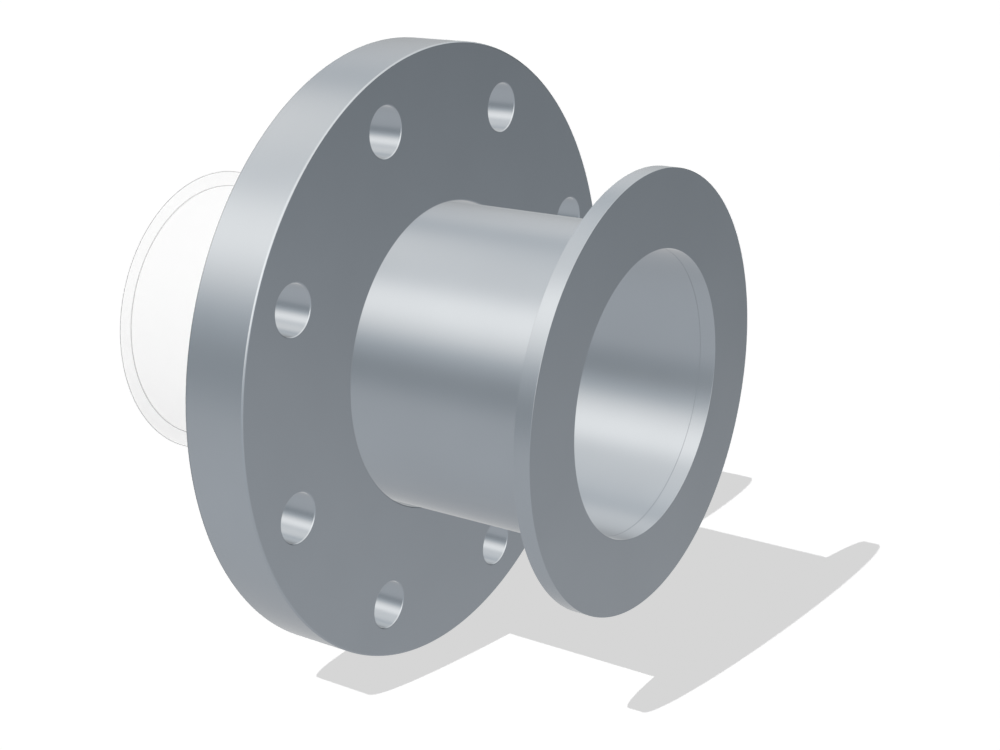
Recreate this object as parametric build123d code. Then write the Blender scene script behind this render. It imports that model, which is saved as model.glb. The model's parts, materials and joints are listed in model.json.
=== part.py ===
from build123d import *
from math import isclose
import os

# Lap joint flange for a 100 mm nominal pipe: a loose bolting ring round a tube with a flat lap on its end,
# and a short length of the run pipe behind it. Sizes are in millimetres.
# The pipe axis is X. The origin is the centre of the lap's gasket face, and +X points out of that face.

# Pipe
pipe_diameter = 114.3
pipe_wall = 6.02
stub_length = 152.4  # from the lap's gasket face to the end that is welded to the run pipe
run_pipe_length = 45.1

# Lap
lap_diameter = 157.2
lap_thickness = 6.02
seam_ease = 0.15  # eased inner corners of lap and tube, which show as a fine line round the bore

# Bolting ring
ring_thickness = 24.5
ring_setback = 85.5  # from the lap's gasket face back to the ring's front face
ring_clearance = 0.9  # radial gap between the ring's bore and the tube
rim_rounding = 0.7

# Bolt holes, which straddle the ring's upright centre line
bolt_circle_diameter = 190.5
bolt_hole_diameter = 18.0
bolt_hole_count = 8
mouth_chamfer = 0.45  # also on the ring's bore
rim_margin = 10.75  # metal left between each bolt hole and the ring's rim

pipe_radius = pipe_diameter / 2
bore_radius = pipe_radius - pipe_wall
lap_back = -lap_thickness
stub_end = -stub_length
run_pipe_end = stub_end - run_pipe_length
ring_bore_radius = pipe_radius + ring_clearance
ring_diameter = bolt_circle_diameter + bolt_hole_diameter + 2 * rim_margin
ring_front = -ring_setback
ring_back = ring_front - ring_thickness


def turned(outline):
    """Solid turned about the pipe axis from an outline of (x, radius) points."""
    return revolve(make_face(Polyline(*outline, close=True)), axis=Axis.X)


def annulus(back, front, inner_radius, outer_radius):
    """Plain ring or tube between two places on the pipe axis."""
    corners = [(back, inner_radius), (front, inner_radius), (front, outer_radius), (back, outer_radius)]
    return turned(corners)


def lap_collar():
    """Flat collar with square corners. Its front is the gasket face, and its back meets the tube."""
    return turned([
        (lap_back, bore_radius + seam_ease),
        (lap_back + seam_ease, bore_radius),
        (0, bore_radius),
        (0, lap_diameter / 2),
        (lap_back, lap_diameter / 2),
    ])


def neck_tube():
    """Tube from the lap's back to the weld with the run pipe, with its front inner corner eased."""
    return turned([
        (stub_end, bore_radius),
        (lap_back - seam_ease, bore_radius),
        (lap_back, bore_radius + seam_ease),
        (lap_back, pipe_radius),
        (stub_end, pipe_radius),
    ])


def run_pipe():
    """Short length of the run pipe, cut square, that butts the tube's rear end."""
    return annulus(run_pipe_end, stub_end, bore_radius, pipe_radius)


def circles(solid, radius):
    """Round edges of one radius."""
    return [edge for edge in solid.edges().filter_by(GeomType.CIRCLE) if isclose(edge.radius, radius)]


def bolt_holes():
    """Drills for the bolt holes, half a step round from the ring's top."""
    step = 360 / bolt_hole_count
    face = Plane(origin=(ring_back, 0, 0), x_dir=(0, 0, 1), z_dir=(1, 0, 0))
    places = PolarLocations(bolt_circle_diameter / 2, bolt_hole_count, start_angle=step / 2)
    drill = Cylinder(bolt_hole_diameter / 2, ring_thickness, align=(Align.CENTER, Align.CENTER, Align.MIN))
    return [face.location * place * drill for place in places]


def bolting_ring():
    """Flat loose ring round the tube, with a rounded rim and chamfered mouths on its bore and bolt holes."""
    blank = annulus(ring_back, ring_front, ring_bore_radius, ring_diameter / 2)
    ring = fillet(circles(blank, ring_diameter / 2), rim_rounding) - bolt_holes()
    mouths = circles(ring, ring_bore_radius) + circles(ring, bolt_hole_diameter / 2)
    return chamfer(mouths, mouth_chamfer)


sub_parts = {
    "lap_collar": lap_collar(),
    "neck_tube": neck_tube(),
    "backing_ring": bolting_ring(),
    "pipe_end": run_pipe(),
}

os.makedirs("parts", exist_ok=True)
for name, solid in sub_parts.items():
    export_step(solid, f"parts/{name}.step")
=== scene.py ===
import json
import math

import bpy
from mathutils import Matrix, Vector


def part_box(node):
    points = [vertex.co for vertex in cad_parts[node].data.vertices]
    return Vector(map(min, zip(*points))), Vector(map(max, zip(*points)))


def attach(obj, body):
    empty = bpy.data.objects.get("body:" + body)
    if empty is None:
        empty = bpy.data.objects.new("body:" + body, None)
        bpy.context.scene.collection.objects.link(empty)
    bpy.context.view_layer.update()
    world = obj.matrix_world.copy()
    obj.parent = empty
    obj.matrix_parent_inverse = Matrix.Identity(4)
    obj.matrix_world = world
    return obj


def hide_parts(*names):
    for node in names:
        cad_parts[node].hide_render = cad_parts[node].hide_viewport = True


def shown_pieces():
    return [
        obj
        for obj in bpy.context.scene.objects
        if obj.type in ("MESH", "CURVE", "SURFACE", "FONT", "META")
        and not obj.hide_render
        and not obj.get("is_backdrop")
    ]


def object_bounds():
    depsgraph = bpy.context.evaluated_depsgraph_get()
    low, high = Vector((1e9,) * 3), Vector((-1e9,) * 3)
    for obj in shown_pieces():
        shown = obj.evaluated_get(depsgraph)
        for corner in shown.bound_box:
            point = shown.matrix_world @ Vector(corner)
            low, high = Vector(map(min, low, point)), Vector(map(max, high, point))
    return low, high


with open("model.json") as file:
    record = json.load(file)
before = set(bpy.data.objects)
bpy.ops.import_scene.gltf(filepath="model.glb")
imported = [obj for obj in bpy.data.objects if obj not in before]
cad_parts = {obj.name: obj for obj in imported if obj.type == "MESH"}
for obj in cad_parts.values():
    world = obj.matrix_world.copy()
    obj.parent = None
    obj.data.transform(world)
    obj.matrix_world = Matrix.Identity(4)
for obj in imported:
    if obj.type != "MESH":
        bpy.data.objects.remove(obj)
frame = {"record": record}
cad_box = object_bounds()

# Lap joint flange of satin turned steel, with a see-through length of run pipe behind it, on a white studio
# floor. Sizes are in metres. The pipe axis is X, and the lap's gasket face lies at x = 0.

# Edges and fits that the frame doesn't state
ring_clearance = 0.0007  # between the ring's bore and the tube, drawn a little closer than the solids
rim_ease = 0.0007
back_rim_ease = 0.00015
mouth_ease = 0.00045  # of the bolt holes
ring_bore_ease = 0.00045
plain_ease = 0.0001  # of corners that look square
seam_width = 0.0002  # open root of the joint between lap and tube, seen in the bore
seam_depth = 0.0003
weld_gap = 0.0001  # between the tube's rear end and the clear pipe, so that two faces don't share a plane
drill_overrun = 0.0018  # how far the drills reach past the ring's faces

# Mesh fineness
ease_steps = 5
round_steps = 288
hole_steps = 96
half_step = 0.5
sharp_angle = math.radians(40)  # corners above it are shaded as sharp

# Steel
steel_colour = (0.292, 0.320, 0.352)
steel_roughness = 0.25
roughness_range = 0.02  # either way, from the turning marks
steel_edge_tint = 0.78  # how much of the usual brightening the steel keeps at a grazing angle
mark_pitch = 0.0004  # spacing of the turning marks
mark_height = 0.0000012
mark_detail = 2.0
mottle_size = 0.035
mottle_detail = 3.0
mottle_span = (0.3, 0.7)  # of the noise that the mottle is made from
mottle_tone = 0.015  # either way
back_corner_shade_width = 0.0004  # painted shade: a fine dark line round the ring's back corner, standing in for the shade on a more rounded edge
back_corner_shade_tone = 0.72

# See-through pipe, drawn pale and clear, with a fine grey line at each corner of its cut end
pipe_colour = (0.94, 0.94, 0.94)
pipe_painted_glow = 0.25  # painted light: a steady glow of the pipe's own, standing in for soft light on its wall
pipe_gloss = 0.05
pipe_roughness = 0.3
outside_cover = 0.20  # share of what lies behind that its outside hides
inside_cover = 0.02  # the same for its bore and cut end
corner_colour = (0.20, 0.20, 0.20)
corner_cover = 0.48
corner_width = 0.0003

# Floor and sun. Light levels are radiance, where 1 renders as white
shadow_level = 0.672
sun_level = 0.345  # what the sun adds to the floor
sun_travel = (0.0995, 0.6055, -0.7896)
sun_strength = 2.0
sun_width = math.radians(0.2)
floor_radius = 15.0
floor_steps = 96

# Light in the steel's reflections, as (degrees about the pipe axis, level). 0 degrees is level and to the
# front, 90 is straight up, 180 is level and to the back, and -90 is straight down.
light_at_pipe_end = (
    (-180, 0.35), (-163, 0.60), (-150, 1.03), (-60, 1.05), (-20, 0.97), (-5, 0.75), (5, 0.72),
    (20, 1.08), (32, 1.78), (45, 2.42), (57, 2.30), (72, 1.56), (95, 2.00), (110, 2.02), (125, 1.22),
    (140, 1.30), (158, 0.85), (172, 0.45), (180, 0.35),
)
light_towards_pipe = (
    (-180, 0.76), (-150, 0.93), (-130, 1.03), (-100, 0.96), (-60, 0.99), (-20, 1.00), (-5, 0.71),
    (5, 0.63), (20, 1.03), (32, 1.88), (45, 2.40), (57, 2.50), (72, 1.73), (95, 1.58), (110, 1.47),
    (125, 1.26), (140, 1.66), (158, 1.45), (180, 0.76),
)
light_towards_lap = (
    (-180, 0.47), (-168, 0.54), (-155, 0.79), (-140, 0.90), (-60, 1.00), (-8, 1.00), (2, 1.50),
    (12, 2.20), (22, 2.70), (40, 2.85), (60, 2.55), (78, 2.15), (98, 2.45), (112, 2.10), (148, 1.75),
    (160, 1.00), (168, 0.25), (177, 0.10), (180, 0.44),
)

# Where one light goes over into the next, by the X part of its direction, which is -1 at the pipe's end
pipe_end_reach = (-0.66, -0.50)  # from the first set to the second
lap_reach = (-0.40, -0.10)  # from the second set to the third
open_wall_reach = (0.95, 0.99)  # from the third set to a plain end wall
open_wall_level = 1.4
dark_wall_reach = (-0.90, -0.97)  # from the first set to the wall at the other end
dark_wall_level = 0.6

# Colour of the light in the reflections
floor_span = (-160, -15)  # angles at which the light comes off the floor
floor_tint = (1.0, 1.0, 1.0)
cool_tint = (0.965, 1.0, 1.02)  # of light at level 1 and under, off the floor
warm_tint = (1.055, 1.0, 0.935)  # of light at level 2 and over

# Camera
camera_place = (0.257802, -0.501012, 0.178521)
camera_look = (-0.5473, 0.7791, -0.3056)
camera_lens = 61.015
camera_shift = (0.0734, 0.0222)


def mount_sizes(name):
    """Stated sizes of one mount, with its lengths turned into metres."""
    found = [mount for mount in frame["record"]["mounts"] if mount["name"] == name]
    sizes = found[0]["dims"]
    return {key: value / 1000 if key.endswith("_mm") else value for key, value in sizes.items()}


def ends_and_radius(node):
    """Where a round node starts and ends on the pipe axis, and its outer radius."""
    low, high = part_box(node)
    return low.x, high.x, high.z


def around(step, steps):
    """Angle of one step of a full turn."""
    return 2 * math.pi * step / steps


def quarter_turn():
    """Angles of the steps of a quarter round."""
    return [math.pi / 2 * step / ease_steps for step in range(ease_steps + 1)]


def eased(corners):
    """Closed outline through (x, radius, ease) corners, with a quarter round of that size at each."""
    outline = []
    for index, (x, radius, ease) in enumerate(corners):
        here = Vector((x, radius))
        if ease == 0:
            outline.append(here)
            continue
        before = Vector(corners[index - 1][:2])
        after = Vector(corners[(index + 1) % len(corners)][:2])
        start = here + (before - here).normalized() * ease
        end = here + (after - here).normalized() * ease
        centre = start + end - here
        for turn in quarter_turn():
            outline.append(centre + (start - centre) * math.cos(turn) + (end - centre) * math.sin(turn))
    return outline


def turned_points(outline, steps, first_step=0.0, axis_y=0.0, axis_z=0.0):
    """Points of an (x, radius) outline at each step of a full turn about a line along X."""
    points = []
    for step in range(steps):
        turn = around(step + first_step, steps)
        for x, radius in outline:
            points.append((x, axis_y + radius * math.sin(turn), axis_z + radius * math.cos(turn)))
    return points


def smooth_mesh(name, points, faces):
    """Mesh of points and faces, shaded smooth."""
    mesh = bpy.data.meshes.new(name)
    mesh.from_pydata(points, [], faces)
    mesh.polygons.foreach_set("use_smooth", [True] * len(faces))
    mesh.update()
    return mesh


def place(name, data):
    """Object of a mesh, lamp or camera, linked into the scene."""
    made = bpy.data.objects.new(name, data)
    bpy.context.scene.collection.objects.link(made)
    return made


def turned_piece(name, outline):
    """Object of a closed outline turned about the pipe axis."""
    count = len(outline)
    faces = []
    for step in range(round_steps):
        near, far = step * count, (step + 1) % round_steps * count
        for index in range(count):
            following = (index + 1) % count
            faces.append((near + index, far + index, far + following, near + following))
    mesh = smooth_mesh(name, turned_points(outline, round_steps), faces)
    mesh.set_sharp_from_angle(angle=sharp_angle)
    return place(name, mesh)


def bolting_ring():
    """Ring with a rounded rim, and eased mouths on its bore and bolt holes."""
    back, front, radius = ends_and_radius("backing_ring")
    bore = ends_and_radius("neck_tube")[2] + ring_clearance
    ring = turned_piece("ring", eased([
        (back, bore, ring_bore_ease),
        (front, bore, ring_bore_ease),
        (front, radius, rim_ease),
        (back, radius, back_rim_ease),
    ]))
    drills = bolt_hole_drills(back, front)
    cut = ring.modifiers.new("bolt_holes", "BOOLEAN")
    cut.operation = "DIFFERENCE"
    cut.solver = "EXACT"
    cut.object = drills
    graph = bpy.context.evaluated_depsgraph_get()
    drilled = bpy.data.meshes.new_from_object(ring.evaluated_get(graph))
    ring.modifiers.clear()
    ring.data = drilled
    bpy.data.objects.remove(drills)
    return ring


def bolt_hole_drills(back, front):
    """One object of all the drills, which straddle the ring's upright centre line."""
    holes = mount_sizes("bolt_holes")
    outline = drill_outline(holes["hole_r_mm"], back, front)
    circle_radius = holes["pcd_mm"] / 2
    points, faces = [], []
    for hole in range(holes["count"]):
        turn = around(hole + half_step, holes["count"])
        centre_y = circle_radius * math.sin(turn)
        centre_z = circle_radius * math.cos(turn)
        drill_points, drill_faces = drill(outline, centre_y, centre_z)
        faces.extend(tuple(len(points) + index for index in face) for face in drill_faces)
        points.extend(drill_points)
    return place("drills", smooth_mesh("drills", points, faces))


def drill_outline(radius, back, front):
    """Side of one drill, flared where it leaves a face so that the hole's mouth is eased."""
    wide = radius + mouth_ease
    flare = [(mouth_ease * (1 - math.sin(turn)), radius + mouth_ease * (1 - math.cos(turn)))
             for turn in quarter_turn()]
    back_mouth = [(back + inset, reach) for inset, reach in reversed(flare)]
    front_mouth = [(front - inset, reach) for inset, reach in flare]
    return [(back - drill_overrun, wide), *back_mouth, *front_mouth, (front + drill_overrun, wide)]


def drill(outline, centre_y, centre_z):
    """Points and faces of one drill, with a flat cap at each end. It starts half a step round, so that its
    corners keep clear of the ring's own edges and the cut leaves no slivers."""
    count = len(outline)
    back_cap = [step * count for step in range(hole_steps)]
    front_cap = [step * count + count - 1 for step in range(hole_steps)]
    faces = [tuple(back_cap), tuple(reversed(front_cap))]
    for step in range(hole_steps):
        near, far = step * count, (step + 1) % hole_steps * count
        for index in range(count - 1):
            faces.append((near + index, near + index + 1, far + index + 1, far + index))
    return turned_points(outline, hole_steps, half_step, centre_y, centre_z), faces


def lap():
    """Flat collar with square corners, and at its bore half of the slot that is the joint's open root."""
    back, front, radius = ends_and_radius("lap_collar")
    bore = mount_sizes("flow_bore")["r_mm"]
    seam = back + seam_width / 2
    return turned_piece("lap", eased([
        (back, bore + seam_depth, 0),
        (seam, bore + seam_depth, 0),
        (seam, bore, 0),
        (front, bore, plain_ease),
        (front, radius, plain_ease),
        (back, radius, plain_ease),
    ]))


def tube():
    """Tube between the lap's back and the run pipe, with the slot's other half."""
    back, front, radius = ends_and_radius("neck_tube")
    bore = mount_sizes("flow_bore")["r_mm"]
    seam = front - seam_width / 2
    return turned_piece("tube", [
        (back, bore),
        (seam, bore),
        (seam, bore + seam_depth),
        (front, bore + seam_depth),
        (front, radius),
        (back, radius),
    ])


def run_pipe():
    """Short see-through length of the run pipe, cut square."""
    back, front, radius = ends_and_radius("pipe_end")
    bore = mount_sizes("flow_bore")["r_mm"]
    start = front - weld_gap
    return turned_piece("run_pipe", [(back, bore), (start, bore), (start, radius), (back, radius)])


def finish_piece(piece, body, node, material):
    """Gives a piece its material and even shading, and lets it stand for its CAD node."""
    piece.data.materials.append(material)
    normals = piece.modifiers.new("even_shading", "WEIGHTED_NORMAL")
    normals.keep_sharp = True
    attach(piece, body)
    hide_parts(node)


def add_node(tree, kind, inputs=None, **settings):
    """Adds a node, sets its own settings, and fills or links its inputs."""
    made = tree.nodes.new(kind)
    for name, value in settings.items():
        setattr(made, name, value)
    for name, value in (inputs or {}).items():
        if isinstance(value, bpy.types.NodeSocket):
            tree.links.new(value, made.inputs[name])
        else:
            made.inputs[name].default_value = value
    return made


def calculate(tree, operation, first, second=0.0):
    """Output of a math node."""
    return add_node(tree, "ShaderNodeMath", {0: first, 1: second}, operation=operation).outputs[0]


def ranged(tree, value, low, high, from_low=0.0, from_high=1.0, smooth=False):
    """Output of a map range node that turns from_low..from_high into low..high."""
    kind = "SMOOTHSTEP" if smooth else "LINEAR"
    inputs = {"Value": value, "From Min": from_low, "From Max": from_high, "To Min": low, "To Max": high}
    return add_node(tree, "ShaderNodeMapRange", inputs, interpolation_type=kind).outputs["Result"]


def mixed_colour(tree, share, first, second):
    """Output of a mix node that goes from the first colour to the second as the share goes from 0 to 1."""
    # Its colours are inputs 6 and 7 and output 2, because their names stand for its numbers and vectors too
    return add_node(tree, "ShaderNodeMix", {0: share, 6: first, 7: second}, data_type="RGBA").outputs[2]


def new_material(name):
    """Empty node material and its output node."""
    material = bpy.data.materials.new(name)
    material.use_nodes = True
    material.node_tree.nodes.clear()
    return material, material.node_tree.nodes.new("ShaderNodeOutputMaterial")


def along_and_radius(tree):
    """Outputs for the place along the pipe axis and the distance from it."""
    place_in_piece = add_node(tree, "ShaderNodeTexCoord").outputs["Object"]
    parts = add_node(tree, "ShaderNodeSeparateXYZ", {0: place_in_piece}).outputs
    across = add_node(tree, "ShaderNodeCombineXYZ", {1: parts[1], 2: parts[2]}).outputs[0]
    radius = add_node(tree, "ShaderNodeVectorMath", {0: across}, operation="LENGTH").outputs["Value"]
    return parts[0], radius


def near_circle(tree, along, radius, place_along, circle_radius, width):
    """1 within a line's width of a circle round the pipe axis, and 0 further off."""
    off_x = calculate(tree, "POWER", calculate(tree, "SUBTRACT", along, place_along), 2.0)
    off_r = calculate(tree, "POWER", calculate(tree, "SUBTRACT", radius, circle_radius), 2.0)
    return calculate(tree, "LESS_THAN", calculate(tree, "ADD", off_x, off_r), width ** 2)


def turned_steel(name):
    """Satin steel with faint turning marks that run round the pipe axis, and a slight broad mottle."""
    material, output = new_material(name)
    tree = material.node_tree
    along, radius = along_and_radius(tree)
    across_marks = calculate(tree, "ADD", along, radius)
    noise_inputs = {"W": across_marks, "Scale": 1 / mark_pitch, "Detail": mark_detail}
    marks = add_node(tree, "ShaderNodeTexNoise", noise_inputs, noise_dimensions="1D").outputs["Fac"]
    rough = ranged(tree, marks, steel_roughness - roughness_range, steel_roughness + roughness_range)
    bump = add_node(tree, "ShaderNodeBump", {"Height": marks, "Distance": mark_height}).outputs["Normal"]
    shader = add_node(tree, "ShaderNodeBsdfPrincipled", {
        "Base Color": steel_tone(tree, along, radius),
        "Metallic": 1.0,
        "Roughness": rough,
        "Normal": bump,
        "Specular Tint": (steel_edge_tint, steel_edge_tint, steel_edge_tint, 1),
    })
    tree.links.new(shader.outputs[0], output.inputs["Surface"])
    return material


def steel_tone(tree, along, radius):
    """Colour of the steel, with its mottle and a painted shade line round the ring's back corner."""
    place_in_piece = add_node(tree, "ShaderNodeTexCoord").outputs["Object"]
    noise_inputs = {"Vector": place_in_piece, "Scale": 1 / mottle_size, "Detail": mottle_detail}
    noise = add_node(tree, "ShaderNodeTexNoise", noise_inputs).outputs["Fac"]
    mottle = ranged(tree, noise, 1 - mottle_tone, 1 + mottle_tone, *mottle_span)
    back, _, rim_radius = ends_and_radius("backing_ring")
    # Painted shade: the steel is darker in a fine line round the ring's back corner
    line = near_circle(tree, along, radius, back, rim_radius, back_corner_shade_width)
    tone = calculate(tree, "MULTIPLY", mottle, ranged(tree, line, 1.0, back_corner_shade_tone))
    scaled = add_node(tree, "ShaderNodeVectorMath", {0: steel_colour, "Scale": tone}, operation="SCALE")
    return scaled.outputs[0]


def see_through(name):
    """Clear pale pipe wall, with a fine grey line at each corner of its cut end."""
    material, output = new_material(name)
    tree = material.node_tree
    along, radius = along_and_radius(tree)
    cut, _, outer = ends_and_radius("pipe_end")
    bore = mount_sizes("flow_bore")["r_mm"]
    outer_corner = near_circle(tree, along, radius, cut, outer, corner_width)
    inner_corner = near_circle(tree, along, radius, cut, bore, corner_width)
    corners = calculate(tree, "MAXIMUM", outer_corner, inner_corner)
    outside = calculate(tree, "GREATER_THAN", radius, outer - plain_ease)
    wall = ranged(tree, outside, inside_cover, outside_cover)
    cover = ranged(tree, corners, wall, corner_cover)
    colour = mixed_colour(tree, corners, (*pipe_colour, 1), (*corner_colour, 1))
    shader = add_node(tree, "ShaderNodeBsdfPrincipled", {
        "Base Color": colour,
        "Roughness": pipe_roughness,
        "Specular IOR Level": pipe_gloss,
        "Alpha": cover,
        # Painted light: the pipe glows in its own colour, though it is no lamp
        "Emission Color": colour,
        "Emission Strength": pipe_painted_glow,
    })
    tree.links.new(shader.outputs[0], output.inputs["Surface"])
    return material


def floor():
    """Large round floor under the ring, which the steel doesn't reflect."""
    low = cad_box[0].z
    points = [(0.0, 0.0, low)]
    for step in range(floor_steps):
        turn = around(step, floor_steps)
        points.append((floor_radius * math.cos(turn), floor_radius * math.sin(turn), low))
    faces = [(0, step + 1, (step + 1) % floor_steps + 1) for step in range(floor_steps)]
    mesh = smooth_mesh("floor", points, faces)
    mesh.materials.append(floor_material())
    made = place("floor", mesh)
    made.visible_glossy = False
    made.visible_diffuse = False
    made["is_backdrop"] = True


def floor_material():
    """White floor: a steady part, which is all that shows in shadow, and a part that the sun lights."""
    material, output = new_material("floor")
    tree = material.node_tree
    facing_sun = -Vector(sun_travel).normalized().z
    lit = sun_level / (sun_strength * facing_sun) * math.pi
    steady = add_node(tree, "ShaderNodeEmission", {"Strength": shadow_level}).outputs[0]
    sunlit = add_node(tree, "ShaderNodeBsdfDiffuse", {"Color": (lit, lit, lit, 1)}).outputs[0]
    both = add_node(tree, "ShaderNodeAddShader", {0: steady, 1: sunlit}).outputs[0]
    tree.links.new(both, output.inputs["Surface"])
    return material


def sun():
    """Small distant lamp that casts the hard-edged shadow."""
    lamp = bpy.data.lights.new("sun", "SUN")
    lamp.energy = sun_strength
    lamp.angle = sun_width
    made = place("sun", lamp)
    made.visible_glossy = False
    made.rotation_mode = "QUATERNION"
    made.rotation_quaternion = Vector(sun_travel).to_track_quat("-Z", "Y")


def light_tint(degrees, level):
    """Colour of one light: neutral off the floor, and elsewhere cool when dim and warm when bright."""
    if floor_span[0] < degrees < floor_span[1]:
        return floor_tint
    warmth = min(max(level - 1, 0), 1)
    return [cool + (warm - cool) * warmth for cool, warm in zip(cool_tint, warm_tint)]


def light_ramp(tree, share, lights):
    """Colour of one set of lights, over the share of a full turn about the pipe axis."""
    ramp = add_node(tree, "ShaderNodeValToRGB", {0: share})
    elements = ramp.color_ramp.elements
    while len(elements) < len(lights):
        elements.new(0)
    for element, (degrees, level) in zip(elements, lights):
        element.position = (degrees + 180) / 360
        element.color = (*[level * part for part in light_tint(degrees, level)], 1)
    return ramp.outputs["Color"]


def studio_light(tree):
    """Light from every direction: three sets along the pipe axis, with a plain wall at each end."""
    way = add_node(tree, "ShaderNodeTexCoord").outputs["Generated"]
    along, back, up = add_node(tree, "ShaderNodeSeparateXYZ", {0: way}).outputs
    angle = calculate(tree, "ARCTAN2", up, calculate(tree, "MULTIPLY", back, -1.0))
    share = ranged(tree, angle, 0.0, 1.0, -math.pi, math.pi)
    past_pipe_end = ranged(tree, along, 0.0, 1.0, *pipe_end_reach)
    past_middle = ranged(tree, along, 0.0, 1.0, *lap_reach, smooth=True)
    light = light_ramp(tree, share, light_at_pipe_end)
    light = mixed_colour(tree, past_pipe_end, light, light_ramp(tree, share, light_towards_pipe))
    light = mixed_colour(tree, past_middle, light, light_ramp(tree, share, light_towards_lap))
    for reach, level in ((open_wall_reach, open_wall_level), (dark_wall_reach, dark_wall_level)):
        at_wall = ranged(tree, along, 0.0, 1.0, *reach, smooth=True)
        light = mixed_colour(tree, at_wall, light, (level, level, level, 1))
    return light


def studio():
    """World: white to the camera and through glass, and a soft studio in the steel's reflections."""
    world = bpy.data.worlds.new("studio")
    bpy.context.scene.world = world
    world.use_nodes = True
    world.cycles_visibility.diffuse = False
    tree = world.node_tree
    tree.nodes.clear()
    rays = add_node(tree, "ShaderNodeLightPath").outputs
    straight = calculate(tree, "MAXIMUM", rays["Is Camera Ray"], rays["Is Transmission Ray"])
    reflected = add_node(tree, "ShaderNodeBackground", {"Color": studio_light(tree)}).outputs[0]
    white = add_node(tree, "ShaderNodeBackground", {"Color": (1, 1, 1, 1)}).outputs[0]
    either = add_node(tree, "ShaderNodeMixShader", {0: straight, 1: reflected, 2: white}).outputs[0]
    add_node(tree, "ShaderNodeOutputWorld", {"Surface": either})


def camera():
    """Camera at the photograph's place and angle."""
    data = bpy.data.cameras.new("camera")
    data.lens = camera_lens
    data.shift_x, data.shift_y = camera_shift
    made = place("camera", data)
    made.location = camera_place
    made.rotation_mode = "QUATERNION"
    made.rotation_quaternion = Vector(camera_look).to_track_quat("-Z", "Y")
    bpy.context.scene.camera = made


camera()
studio()
sun()
floor()
finish_piece(bolting_ring(), "ring", "backing_ring", turned_steel("ring_steel"))
finish_piece(lap(), "stub_end", "lap_collar", turned_steel("lap_steel"))
finish_piece(tube(), "stub_end", "neck_tube", turned_steel("tube_steel"))
finish_piece(run_pipe(), "stub_end", "pipe_end", see_through("clear_pipe"))

# Pieces neither show in each other's reflections nor light each other
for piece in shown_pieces():
    piece.visible_diffuse = False
    piece.visible_glossy = False
bpy.context.scene.view_settings.view_transform = "Standard"
